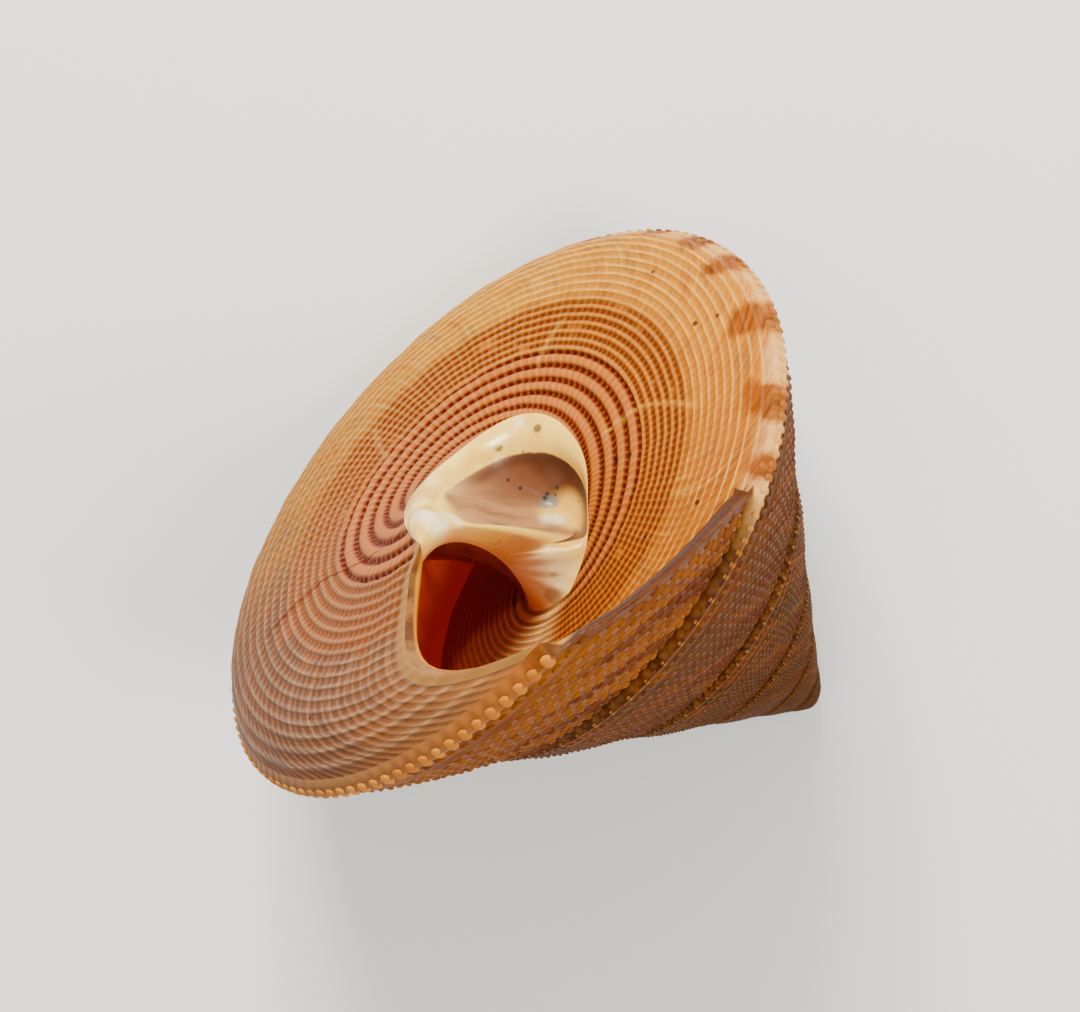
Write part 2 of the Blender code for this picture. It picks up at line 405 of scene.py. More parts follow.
# triangles between two chains of points, walked at the same pace
def addStrip(left, right, finish):
    left, right = np.array(left), np.array(right)
    paceA, paceB = pace(left), pace(right)
    startA, startB = addPoints(left), addPoints(right)
    a = b = 0
    tris = []
    while a < len(left) - 1 or b < len(right) - 1:
        nextA = paceA[a + 1] if a < len(left) - 1 else 2.0
        nextB = paceB[b + 1] if b < len(right) - 1 else 2.0
        if nextA <= nextB:
            tris.append((startA + a, startA + a + 1, startB + b))
            a += 1
        else:
            tris.append((startA + a, startB + b + 1, startB + b))
            b += 1
    addTris(tris, finish)


def resample(chain, count):
    chain = np.array(chain)
    at = np.linspace(0.0, 1.0, count)
    return np.stack([np.interp(at, pace(chain), chain[:, k]) for k in range(6)], axis=-1)


# a strip that bulges between its two chains, ahead in the way of growth and down from the base
def addRoundStrip(left, right, ahead, down, finish, starts=None):
    rows = spinForm["stripRows"]
    count = max(len(left), len(right))
    evenLeft, evenRight = resample(left, count), resample(right, count)
    ends = np.minimum(1.0, 6.0 * np.minimum(np.linspace(0, 1, count), np.linspace(1, 0, count)))
    chains = [np.array(left)]
    for number in range(1, rows):
        t = number / rows
        middle = evenLeft * (1 - t) + evenRight * t
        reach = np.hypot(middle[:, 0], middle[:, 1])
        way = [middle[:, 1] / reach * ahead, -middle[:, 0] / reach * ahead, -down + 0.0 * reach]
        middle[:, :3] += ends[:, None] * np.stack(way, axis=-1) * math.sin(math.pi * t)
        middle[0] = left[0] * (1 - t) + right[0] * t if starts is None else starts[number]
        middle[-1] = left[-1] * (1 - t) + right[-1] * t
        chains.append(middle)
    chains.append(np.array(right))
    for number, chain in enumerate(chains):
        chain[:, 4] = number / rows
        chain[:, 5] = np.interp(pace(chain), pace(chains[0]), chains[0][:, 5])
    for one, other in zip(chains, chains[1:]):
        addStrip(one, other, finish)


def addFan(ring, centre, finish):
    start = addPoints(list(ring) + [centre])
    count = len(ring)
    addTris([(start + k, start + (k + 1) % count, start + count) for k in range(count)], finish)


def spinShell():
    every = np.arange(lastColumn + 1)
    openBase = np.arange(lastColumn - turnColumns + weldShift, lastColumn + 1)
    farColumn = lastColumn - tubeColumns - turnColumns - callusShift
    longBase = np.arange(farColumn, lastColumn + 1)
    insertion = lastColumn - turnColumns + callusOpen
    arch = np.arange(insertion, lastColumn + 1)
    tube = np.arange(lastColumn - tubeColumns, lastColumn + 1)

    # sides of all whorls and the keel's strip of base
    sideShares = np.linspace(0.0, 1.0, cordForm["sideCords"] * cordForm["rowsPerSideCord"] + 1)
    side = [sidePoint(columnAngle(every) - shellForm["keelLag"] * s, s) for s in sideShares]
    keelStrip = [baseRow(every, s) for s in spinForm["keelShares"]]
    addSheet(side, "side")
    addSheet(keelStrip, "side")
    outerShare, flatShare = shellForm["innerSutureShare"], shellForm["innerFlatShare"]
    rimShares = np.linspace(shellForm["sutureShare"], outerShare, spinForm["stripRows"] + 1)
    keelBand = [baseRow(openBase, s) for s in rimShares]
    addSheet(keelBand, "base")

    # base of the last whorl, which runs on into the hollow
    evenRows = round((outerShare - flatShare) / cordForm["finePitch"] * cordForm["rowsPerFineCord"])
    base = [baseRow(longBase, s) for s in np.linspace(outerShare, flatShare, evenRows)]
    innerCount = 5 * cordForm["rowsPerWideCord"]
    base += [innerBaseRow(longBase, number / innerCount) for number in range(1, innerCount + 1)]
    addSheet(base, "base")

    callusBlends = np.linspace(0.0, 1.0, spinForm["callusRows"] + 1)
    callus = [rimRow(arch, blend) for blend in callusBlends]
    addSheet(callus, "callus")

    hollow = hollowRows(tube)
    addSheet(hollow, "mouth")

    ring = [row[0] for row in hollow]
    ring += [row[0] for row in reversed(base[:-1])]
    ring += [base[0][k] for k in range(1, weldShift + callusShift)]
    addFan(ring, np.mean(ring, axis=0), "mouth")

    # lip, pillar and the pad where it meets the older base
    lipOuter = [row[-1] for row in side] + [row[-1] for row in keelStrip[1:]]
    lipOuter += [row[-1] for row in keelBand[1:-1]]
    lipOuter += [row[-1] for row in base]
    inner = [row[-1] for row in hollow]
    seam = 1 + spinForm["hollowSideRows"] + spinForm["hollowBaseRows"]
    addRoundStrip(lipOuter, inner[:seam], callusForm["lipRound"], 0.0, "lip", [row[0] for row in keelBand])
    edge = pillarEdge()
    pillar = [row[-1] for row in callus] + edge[1:]
    split = seam + round(spinForm["pillarRows"] * spinForm["padFrom"])
    swell = callusForm["pillarRound"]
    addRoundStrip(pillar, inner[seam - 1:split], swell, swell, "pillar")
    first = insertion - farColumn
    pad = [edge[-1]] + [row[0] for row in reversed(callus[1:-1])]
    pad += [base[-1][first - k] for k in range(callusOpen + callusShift + 1)]
    addRoundStrip(pad, inner[split - 1:], 0.0, 0.0, "pillar")

    # funnel, spanned on the callus and the pillar's edge
    rim = list(callus[-1]) + edge[1:-1]
    centre = np.array(callusForm["funnelCentre"])
    axis = centre - np.mean(rim, axis=0)[:3]
    axis /= np.linalg.norm(axis)
    rings = []
    rows = spinForm["funnelRows"]
    for number in range(rows + 1):
        t = number / (rows + 1)
        points = []
        for k, point in enumerate(rim):
            arm = point[:3] - centre
            along = axis * np.dot(arm, axis)
            spot = centre + (arm - along) * (1.0 - t) + along * (1.0 - t) ** 2
            points.append(np.concatenate([spot, [360.0 * k / len(rim), t, 0.0]]))
        rings.append(points + points[:1])
    addSheet(rings, "funnel")
    addFan(rings[-1][:-1], np.concatenate([centre, [0.0, 1.0, 0.0]]), "funnel")

    # blunt apex
    crown = [row for row in side[0][:turnColumns - weldShift + 1]]
    crown += [row[0] for row in reversed(keelStrip[1:-1])]
    crown += [row[0] for row in reversed(side[1:])]
    tip = np.mean(crown, axis=0)
    tip[2] += 0.6 * float(growth(columnAngle(0) - 360.0))
    dome = [np.array(crown + crown[:1])]
    for number in range(1, spinForm["apexRows"]):
        t = number / spinForm["apexRows"]
        ringPoints = dome[0] * (1 - t) + tip * t
        ringPoints[:, 2] += 0.012 * math.sin(math.pi * t)
        dome.append(ringPoints)
    addSheet(dome, "side")
    addFan(dome[-1][:-1], tip, "side")


# from the shell's own axes to the way it lies: the spun surface is centred in the solid's box
def layMatrix():
    roll = Matrix.Rotation(math.radians(-layForm["restSide"]), 4, "Z")
    tip = Matrix.Rotation(math.radians(-layForm["restTip"]), 4, "Y")
    turn = Matrix.Rotation(math.radians(layForm["heading"]), 4, "Z") @ tip @ roll
    points = np.concatenate(net["points"])[:, :3] * shellForm["keelRadius"]
    laid = points @ np.array(turn.to_3x3()).T
    centre = (laid.min(axis=0) + laid.max(axis=0)) / 2
    shift = Vector((np.array(cadBox[0]) + np.array(cadBox[1])) / 2 - centre)
    return Matrix.Translation(shift) @ turn


spinShell()
layDown = layMatrix()


def newObject(name, data):
    made = bpy.data.objects.new(name, data)
    bpy.context.scene.collection.objects.link(made)
    return made


# one closed mesh: welded, its callus, funnel and pillar smoothed, small bumps raised on them
def buildShell():
    points = np.concatenate(net["points"])
    quads, tris = np.concatenate(net["quads"]), np.concatenate(net["tris"])
    mesh = bpy.data.meshes.new("shellBody")
    mesh.from_pydata((points[:, :3] * shellForm["keelRadius"]).tolist(), [], quads.tolist() + tris.tolist())
    corners = np.empty(len(mesh.loops), dtype=np.int32)
    mesh.loops.foreach_get("vertex_index", corners)
    for column, name in enumerate(tagNames):
        values = mesh.attributes.new(name, "FLOAT", "CORNER")
        values.data.foreach_set("value", points[corners, 3 + column].astype(np.float32))
    finish = np.concatenate(net["quadFinish"] + net["trisFinish"]).astype(np.int32)
    mesh.polygons.foreach_set("material_index", finish)
    body = bmesh.new()
    body.from_mesh(mesh)
    bmesh.ops.remove_doubles(body, verts=body.verts, dist=1e-6)
    bmesh.ops.recalc_face_normals(body, faces=body.faces)
    polish = {finishes.index(name) for name in ("callus", "funnel", "pillar")}
    soft = [spot for spot in body.verts if all(face.material_index in polish for face in spot.link_faces)]
    for _ in range(spinForm["polishing"]):
        bmesh.ops.smooth_vert(body, verts=soft, factor=0.5,
                              use_axis_x=True, use_axis_y=True, use_axis_z=True)
    for centre, size, lift in callusLook["bumps"]:
        centre = layDown.inverted() @ Vector(centre)
        body.normal_update()
        for spot in soft:
            spot.co += spot.normal * lift * math.exp(-((spot.co - centre).length / size) ** 2)
    loose = sum(1 for edge in body.edges if len(edge.link_faces) != 2)
    body.transform(layDown)
    body.to_mesh(mesh)
    body.free()
    mesh.shade_smooth()
    mesh.set_sharp_from_angle(angle=math.radians(60))
    tris = sum(len(face.vertices) - 2 for face in mesh.polygons)
    print("shell spun:", tris, "triangles,", loose, "edges not shared by two faces")
    return newObject("shellBody", mesh)


# shader helpers: they put their nodes into the finish that was opened last
desk = {"tree": None}


# what flows between nodes: its sums and products become math nodes
class nodeValue:
    def __init__(self, socket):
        self.socket = socket

    def __add__(self, other):
        return calc("ADD", self, other)

    def __radd__(self, other):
        return calc("ADD", other, self)

    def __sub__(self, other):
        return calc("SUBTRACT", self, other)

    def __rsub__(self, other):
        return calc("SUBTRACT", other, self)

    def __mul__(self, other):
        return calc("MULTIPLY", self, other)


def colour(red, green, blue):
    linear = [((v / 255 + 0.055) / 1.055) ** 2.4 if v > 10 else v / 255 / 12.92 for v in (red, green, blue)]
    return (*linear, 1.0)


def newNode(kind):
    return desk["tree"].nodes.new(kind)


def fill(node, inputs):
    for key, value in inputs.items():
        if isinstance(value, nodeValue):
            desk["tree"].links.new(value.socket, node.inputs[key])
        else:
            node.inputs[key].default_value = value


def wire(node, inputs, output=0):
    fill(node, inputs)
    return nodeValue(node.outputs[output])


def calc(operation, *values):
    node = newNode("ShaderNodeMath")
    node.operation = operation
    return wire(node, dict(enumerate(values)))


def vectorCalc(operation, output, *values):
    node = newNode("ShaderNodeVectorMath")
    node.operation = operation
    return wire(node, dict(enumerate(values)), output)


def rise(value, low, high):
    node = newNode("ShaderNodeMapRange")
    node.interpolation_type = "SMOOTHSTEP"
    return wire(node, {"Value": value, "From Min": low, "From Max": high}, "Result")


def fall(value, low, high):
    return 1.0 - rise(value, low, high)


def hill(value, at, width):
    return fall(calc("ABSOLUTE", value - at), 0.0, width)


def blend(factor, low, high):
    return factor * calc("SUBTRACT", high, low) + low


def wave(value, period):
    return calc("SINE", value * (2 * math.pi / period)) * 0.5 + 0.5


def paint(factor, under, over):
    node = newNode("ShaderNodeMix")
    node.data_type = "RGBA"
    return wire(node, {"Factor": factor, "A": under, "B": over}, "Result")


def attribute(name):
    node = newNode("ShaderNodeAttribute")
    node.attribute_name = name
    return nodeValue(node.outputs["Fac"])


def tags():
    return [attribute(name) for name in tagNames]


def vector(x, y, z):
    return wire(newNode("ShaderNodeCombineXYZ"), {0: x, 1: y, 2: z})


def objectPoint():
    return nodeValue(newNode("ShaderNodeTexCoord").outputs["Object"])


def noise(where, scale, detail=3.0):
    inputs = {"Vector": where, "Scale": scale, "Detail": detail, "Roughness": 0.55}
    return wire(newNode("ShaderNodeTexNoise"), inputs, "Fac")


# noise that follows the growth: shares of growth line and cord number, a shift, its scale and detail
def growthNoise(line, cord, form):
    lineShare, cordShare, shift, scale, detail = form
    return noise(vector(line * lineShare, cord * cordShare, shift), scale, detail)


# a point pulled together along one way, so that noise runs in streaks that way
def stretched(where, way, keep):
    share = vectorCalc("DOT_PRODUCT", "Value", where, way)
    return vectorCalc("MULTIPLY_ADD", 0, way, share * (keep - 1.0), where)


# soft spots at places in the frame, each with its radius
def spots(where, places):
    mask = 0.0
    for centre, radius in places:
        away = vectorCalc("DISTANCE", "Value", where, centre)
        mask = calc("MAXIMUM", fall(away, 0.6 * radius, 1.2 * radius), mask)
    return mask


# a point of the base in the frame, from its growth angle and its share of the radius
def onBase(angle, share):
    return tuple(layDown @ Vector(basePoint(np.array([angle]), share)[0, :3] * shellForm["keelRadius"]))


# colours of a look, named in its stops, along a value
def along(value, look, stops):
    low, high = stops[0][0], stops[-1][0]
    node = newNode("ShaderNodeValToRGB")
    marks = node.color_ramp.elements
    while len(marks) < len(stops):
        marks.new(0.5)
    for mark, (at, tint) in zip(marks, stops):
        mark.position = (at - low) / (high - low)
        mark.color = look[tint]
    return wire(node, {0: calc("DIVIDE", value - low, high - low)}, "Color")


def relief(height, depth, strength):
    inputs = {"Distance": depth, "Strength": strength, "Height": height}
    return wire(newNode("ShaderNodeBump"), inputs, "Normal")


def newFinish(name):
    material = bpy.data.materials.new(name)
    material.use_nodes = True
    desk["tree"] = material.node_tree
    return material, material.node_tree.nodes["Principled BSDF"]


# mix says how strongly each colour goes on, a pair how strongly off and on the grooves or another part;
# pairs such as wideEnd are where a border starts and ends, in cords, growth lines or growth angles
baseLook = {
    "rightGold": colour(212, 132, 0),
    "deepGold": colour(180, 98, 0),
    "topBeige": colour(206, 142, 24),
    "leftTan": colour(168, 112, 20),
    "lowMauve": colour(98, 68, 50),
    "paleRight": colour(244, 186, 56),
    "paleTop": colour(240, 190, 96),
    "paleLow": colour(184, 130, 88),
    "wideCord": colour(172, 92, 26),
    "wideGroove": colour(84, 8, 0),
    "goldCord": colour(168, 88, 0),
    "brownGroove": colour(98, 28, 0),
    "flame": colour(98, 38, 0),
    "flameLight": colour(150, 74, 0),
    "whitish": colour(226, 174, 112),
    # inner: the base's tone inside the mouth, lightened as painted light where that stretch lies in shade
    "inner": colour(255, 200, 116),
    "lipPink": colour(154, 108, 54),
    "speck": colour(30, 20, 14),
    "nearLip": colour(146, 98, 54),
    "glaze": colour(134, 14, 0),
    "ground": [(-420.0, "deepGold"), (-335.0, "deepGold"), (-290.0, "rightGold"), (-215.0, "topBeige"),
               (-150.0, "leftTan"), (-110.0, "lowMauve"), (-60.0, "lowMauve"), (-25.0, "nearLip"),
               (0.0, "nearLip")],
    "paleGround": [(-420.0, "paleRight"), (-300.0, "paleRight"), (-215.0, "paleTop"), (-115.0, "paleLow"),
                   (0.0, "paleLow")],
    "keelGround": [(-340.0, "topBeige"), (-215.0, "topBeige"), (-150.0, "leftTan"), (-110.0, "lowMauve"),
                   (-60.0, "nearLip"), (0.0, "flameLight")],
    "specks": [((-287.0, 0.77), 0.00022), ((-290.0, 0.85), 0.00018), ((-340.0, 0.81), 0.00020),
               ((-343.0, 0.91), 0.00018), ((-318.0, 0.42), 0.00022), ((-317.5, 0.36), 0.00032),
               ((-352.0, 0.62), 0.00016), ((-262.0, 0.80), 0.00015)],
    "flames": [(-222.0, 3.0, 19.6), (-235.0, 4.0, 18.8), (-250.0, 4.0, 19.2), (-263.0, 4.5, 18.6),
               (-275.5, 5.0, 17.6), (-295.0, 6.5, 17.0), (-315.5, 6.0, 17.4), (-330.0, 4.0, 19.4)],
    "streaks": [(-223.7, 1.6, 3.3, 7.1), (-287.4, 2.0, 1.8, 10.9), (-150.0, 1.8, 4.0, 9.0)],
    "scar": {"turn": 49.0, "reach": 1.7, "at": -104.0},
    "patches": (0.05, 0.12, 0.0, 2.6, 4.0),
    "lineStreaks": (0.22, 0.05, 7.0, 2.2, 5.0),
    "paleBreaks": (0.08, 1.0, 4.0, 1.3, 3.0),
    "dashes": (0.07, 2.3, 1.0, 1.5, 3.0),
    "wobble": (260.0, 2.2),
    "ragged": (620.0, 2.4),
    "mix": {"gold": (0.7, 0.25), "mauve": 0.45, "pale": 0.45, "crest": 0.55, "outerGroove": 0.32,
            "middleGold": 0.7, "middleLow": 0.5, "middleGroove": (0.95, 0.65), "riblets": (0.34, 0.24),
            "streak": 0.22, "scar": 0.6, "whitish": (0.25, 0.8), "flames": 0.9, "lipStep": 0.6,
            "lipBand": 0.85, "dirt": 0.85, "inMouthLight": (0.75, 0.35), "glaze": 0.95},
    "grooveWidth": (0.44, 0.32),
    "hatching": (0.35, 1.0),
    "wideEnd": (4.15, 4.6),
    "goldEnd": (9.6, 11.6),
    "keelBorder": (18.8, 21.0),
    "rightHalf": (-232.0, -205.0),
    "hatchedFrom": (-215.0, -120.0),
    "lipBand": (22.4, 23.4),
    "inMouthLight": (-352.0, -332.0),
    "glazed": (-412.0, -398.0),
    "ribletPeriod": 2.6,
    "wideRibletPeriod": 3.9,
    "roughness": 0.45,
    "glazeRoughness": 0.2,
    "bump": (0.00014, 0.9),
}


def raggedEdge(spot):
    scale, amount = baseLook["ragged"]
    return (noise(spot, scale, 4.0) - 0.5) * amount


# ragged flames along the keel's right half, whitish between them
def keelRim(tone, angle, cord, uneven, streaky):
    look = baseLook
    onRight = fall(angle, *look["rightHalf"]) * rise(cord + uneven, *look["keelBorder"])
    tone = paint(onRight * blend(rise(streaky, 0.30, 0.60), *look["mix"]["whitish"]), tone, look["whitish"])
    shifted = angle + uneven * 3.0
    rust = paint(rise(streaky, 0.35, 0.62), look["flame"], look["flameLight"])
    for centre, width, inner in look["flames"]:
        flame = hill(shifted, centre, width * 1.15) * rise(cord + uneven, inner - 1.2, inner + 1.4)
        tone = paint(rise(flame, 0.05, 0.7) * look["mix"]["flames"], tone, rust)
    return tone


def baseFinish():
    look = baseLook
    mix = look["mix"]
    material, shader = newFinish("baseFinish")
    angle, line, cord = tags()
    spot = objectPoint()
    away = calc("PINGPONG", cord, 0.5)
    ring = calc("ROUND", cord)
    wide = fall(cord, *look["wideEnd"])
    middle = fall(cord, *look["goldEnd"]) * (1.0 - wide)
    width = blend(wide, *look["grooveWidth"])
    groove = fall(away, width * 0.30, width)
    wobbleScale, wobbleAmount = look["wobble"]
    wobble = noise(spot, wobbleScale) * wobbleAmount
    lines = line + wobble
    riblets = blend(wide, wave(lines, look["ribletPeriod"]), wave(lines, look["wideRibletPeriod"]))
    hatched = blend(rise(angle, *look["hatchedFrom"]), *look["hatching"])

    # ground colour round the turn, mottled and streaked along the growth lines
    ground = along(angle, look, look["ground"])
    pale = along(angle, look, look["paleGround"])
    patchy = growthNoise(line, cord, look["patches"])
    streaky = growthNoise(line, cord, look["lineStreaks"])
    lowPart = rise(angle, -170.0, -120.0) * rise(cord, 11.0, 15.0)
    ground = paint(rise(patchy, 0.45, 0.72) * blend(lowPart, *mix["gold"]), ground, look["goldCord"])
    ground = paint(fall(patchy, 0.30, 0.50) * mix["mauve"], ground, look["lowMauve"])
    ground = paint(rise(streaky, 0.55, 0.75) * mix["pale"], ground, pale)

    # thin pale lines outside
    crest = rise(away, 0.34, 0.48)
    broken = growthNoise(angle, ring, look["paleBreaks"])
    tone = paint(crest * (rise(broken, 0.38, 0.62) * mix["crest"]), ground, pale)
    tone = paint(groove * mix["outerGroove"], tone, look["brownGroove"])

    # golden middle with brown lines in its grooves, broken here and there
    dashes = growthNoise(line, ring, look["dashes"])
    brown = groove * rise(dashes, 0.22, 0.40)
    golden = paint(mix["middleGold"], ground, look["goldCord"])
    onLow = rise(angle, -170.0, -110.0)
    golden = paint(onLow * mix["middleLow"], golden, look["nearLip"])
    golden = paint(brown * blend(onLow, *mix["middleGroove"]), golden, look["brownGroove"])
    tone = paint(middle, tone, golden)

    # wide pinkish cords with maroon grooves beside the callus
    rosy = paint(rise(patchy, 0.40, 0.75), look["wideCord"], look["goldCord"])
    tone = paint(wide, tone, paint(groove, rosy, look["wideGroove"]))

    # pale riblets that cross the cords, and the grooves a little
    lighter = rise(riblets, 0.45, 0.95) * blend(groove, *mix["riblets"])
    tone = paint(lighter * hatched, tone, pale)

    # pale streaks that follow the growth lines, and the line where an old lip was mended
    for start, slant, inner, outer in look["streaks"]:
        span = rise(cord, inner - 0.8, inner) * fall(cord, outer, outer + 1.5)
        streak = hill(angle + cord * slant + wobble, start, 2.0) * span
        tone = paint(streak * mix["streak"], tone, pale)
    scar = look["scar"]
    bend = calc("POWER", math.e, calc("DIVIDE", 1.4 - cord, scar["reach"])) * scar["turn"]
    fromScar = angle - bend - scar["at"]
    scarSpan = rise(cord, 0.6, 1.4) * fall(cord, 11.0, 15.0)
    tone = paint(hill(fromScar, 0.0, 1.6) * scarSpan * mix["scar"], tone, look["brownGroove"])
    step = fall(fromScar, -0.8, 0.8) * scarSpan
    uneven = raggedEdge(spot)
    tone = keelRim(tone, angle, cord, uneven, streaky)

    # lip band, specks of dirt, the stretch inside the mouth lightened as painted light, and the glaze deep
    # inside
    band = rise(line, *look["lipBand"])
    tone = paint(hill(line, 22.8, 0.9) * mix["lipStep"], tone, look["lowMauve"])
    tone = paint(band * mix["lipBand"], tone, look["lipPink"])
    dirt = rise(noise(spot, 900.0, 1.0), 0.80, 0.83)
    dirt = calc("MAXIMUM", dirt, spots(spot, [(onBase(*at), size) for at, size in look["specks"]]))
    tone = paint(dirt * mix["dirt"], tone, look["speck"])
    # painted light: the shaded stretch inside the mouth is lightened, most on the cords
    paintedLightInside = fall(line, *look["inMouthLight"])
    tone = paint(paintedLightInside * blend(groove, *mix["inMouthLight"]), tone, look["inner"])
    glazed = fall(line + uneven * 6.0, *look["glazed"])
    tone = paint(glazed * mix["glaze"], tone, look["glaze"])

    crossing = riblets * blend(groove, 0.7, 0.3) * hatched
    ridges = (1.0 - groove) * 0.5
    plain = 1.0 - calc("MAXIMUM", band, glazed)
    carved = (crossing + ridges) * plain + step * 0.9
    fill(shader, {"Base Color": tone, "Roughness": blend(glazed, look["roughness"], look["glazeRoughness"]),
                  "Specular IOR Level": blend(groove, 0.11, 0.02),
                  "Normal": relief(carved + noise(spot, 2600.0) * 0.3, *look["bump"])})
    return material


sideLook = {
    "mauve": colour(90, 50, 20),
    "orange": colour(142, 76, 0),
    "greyBrown": colour(72, 42, 8),
    "olive": colour(66, 40, 0),
    "pale": colour(158, 106, 48),
    "cream": colour(200, 124, 38),
    "flame": colour(54, 14, 2),
    "rust": colour(112, 50, 0),
    "lipPink": colour(92, 46, 14),
    "brown": colour(84, 30, 2),
    "ground": [(-1840.0, "olive"), (-1620.0, "olive"), (-1400.0, "greyBrown"), (-700.0, "greyBrown"),
               (-330.0, "mauve"), (-150.0, "mauve"), (-50.0, "orange"), (20.0, "orange")],
    "patches": (0.045, 0.10, 3.0, 2.2, 4.0),
    "lineStreaks": (0.20, 0.06, 9.0, 2.0, 5.0),
    "eachBead": (0.9, 0.9, 1.0, 3.0, 1.0),
    "wobble": (260.0, 1.6),
    "mix": {"rust": 0.7, "orange": 0.45, "flame": 0.55, "flames": 0.72, "beads": 0.22, "groove": 0.32,
            "furrowShade": 0.25, "furrowGlints": 0.2, "lipBand": 0.6, "paleBeads": 0.15, "keelOrange": 0.45,
            "olderKeel": 0.85, "rightKeel": 0.7},
    "lastWhorl": (-350.0, -332.0),
    "lastKeelBeads": (-360.0, -340.0),
    "lipBand": (22.4, 23.6),
    "ribletPeriod": 2.6,
    "beat": 17.0,
    "beadBeat": 5.2,
    "roughness": 0.46,
    "beadRoughness": 0.6,
    "bump": (0.00012, 0.7),
    "beadBump": (0.00005, 0.5),
}


# brown flames that run down from the suture along the growth lines
def sideFlames(tone, line, cord, spot):
    pulse = wave(line + noise(spot, 90.0) * 20.0, sideLook["beat"])
    flames = rise(cord + pulse * 11.0, 33.5, 39.0) * rise(pulse, 0.35, 0.75)
    return paint(flames * sideLook["mix"]["flames"], tone, sideLook["brown"])


def sideGround(angle, line, cord):
    look = sideLook
    mix = look["mix"]
    ground = along(angle, look, look["ground"])
    patchy = growthNoise(line, cord, look["patches"])
    streaky = growthNoise(line, cord, look["lineStreaks"])
    ground = paint(rise(patchy, 0.45, 0.65) * mix["rust"], ground, look["rust"])
    ground = paint(rise(streaky, 0.52, 0.70) * mix["orange"], ground, look["orange"])
    return paint(fall(streaky, 0.33, 0.48) * mix["flame"], ground, look["flame"])


# the last whorl's keel goes on from the base
def lastKeel(tone, angle, line, cord, spot):
    rim = along(angle, baseLook, baseLook["keelGround"])
    rim = keelRim(rim, angle, cord, raggedEdge(spot), growthNoise(line, cord, baseLook["lineStreaks"]))
    return paint(fall(cord, 21.1, 22.0) * rise(angle, *sideLook["lastWhorl"]), tone, rim)


def sideFinish():
    look = sideLook
    mix = look["mix"]
    material, shader = newFinish("sideFinish")
    angle, line, cord = tags()
    spot = objectPoint()
    away = calc("PINGPONG", cord, 0.5)
    groove = fall(away, 0.06, 0.26)
    wobbleScale, wobbleAmount = look["wobble"]
    wobble = noise(spot, wobbleScale) * wobbleAmount
    riblets = wave(line + wobble, look["ribletPeriod"])
    bead = rise(away, 0.16, 0.42) * rise(riblets, 0.3, 0.8)
    tone = paint(bead * mix["beads"], sideGround(angle, line, cord), look["pale"])
    tone = paint(groove * mix["groove"], tone, look["flame"])
    tone = sideFlames(tone, line, cord, spot)

    # painted shade along the suture furrow, with pale marks as painted glints
    marks = wave(line + wobble * 4.0, look["beadBeat"])
    older = fall(angle, *look["lastWhorl"])
    ends = calc("MAXIMUM", rise(cord, 32.2, 32.9), fall(cord, 21.0, 21.8) * older)
    tone = paint(ends * mix["furrowShade"], tone, look["flame"])
    tone = paint(ends * rise(marks, 0.6, 0.9) * mix["furrowGlints"], tone, look["pale"])
    tone = lastKeel(tone, angle, line, cord, spot)
    tone = paint(rise(line, *look["lipBand"]) * mix["lipBand"], tone, look["lipPink"])
    height = riblets * rise(away, 0.1, 0.4) + away * 1.2 + noise(spot, 2400.0) * 0.35
    fill(shader, {"Base Color": tone, "Roughness": look["roughness"], "Specular IOR Level": 0.07,
                  "Normal": relief(height, *look["bump"])})
    return material


# beads are one tone each: pale or rusty on the keel, ground with pale painted glints on the older keels,
# close to the ground on the cords
def beadFinish():
    look = sideLook
    mix = look["mix"]
    material, shader = newFinish("beadFinish")
    angle, line, cord = tags()
    spot = objectPoint()
    ground = sideGround(angle, line, cord)
    each = growthNoise(line, cord, look["eachBead"])
    tone = paint(rise(each, 0.40, 0.62) * mix["paleBeads"], ground, look["pale"])
    tone = sideFlames(tone, line, cord, spot)
    pulse = wave(line + each * 3.0, look["beadBeat"])
    keelTone = paint(rise(each, 0.40, 0.65) * mix["keelOrange"], look["cream"], look["orange"])
    older = fall(angle, *look["lastKeelBeads"])
    # painted glints: pale beads in a beat on the older keels, the ground between them
    glintsOnGround = paint(rise(pulse, 0.30, 0.60), look["pale"], ground)
    keelTone = paint(older * mix["olderKeel"], keelTone, glintsOnGround)
    onRight = fall(angle, *baseLook["rightHalf"]) * (1.0 - older)
    keelTone = paint(onRight * mix["rightKeel"], keelTone, lastKeel(keelTone, angle, line, 21.0, spot))
    tone = paint(fall(cord, 21.2, 21.8), tone, keelTone)
    fill(shader, {"Base Color": tone, "Roughness": look["beadRoughness"], "Specular IOR Level": 0.1,
                  "Normal": relief(noise(spot, 2400.0), *look["beadBump"])})
    return material


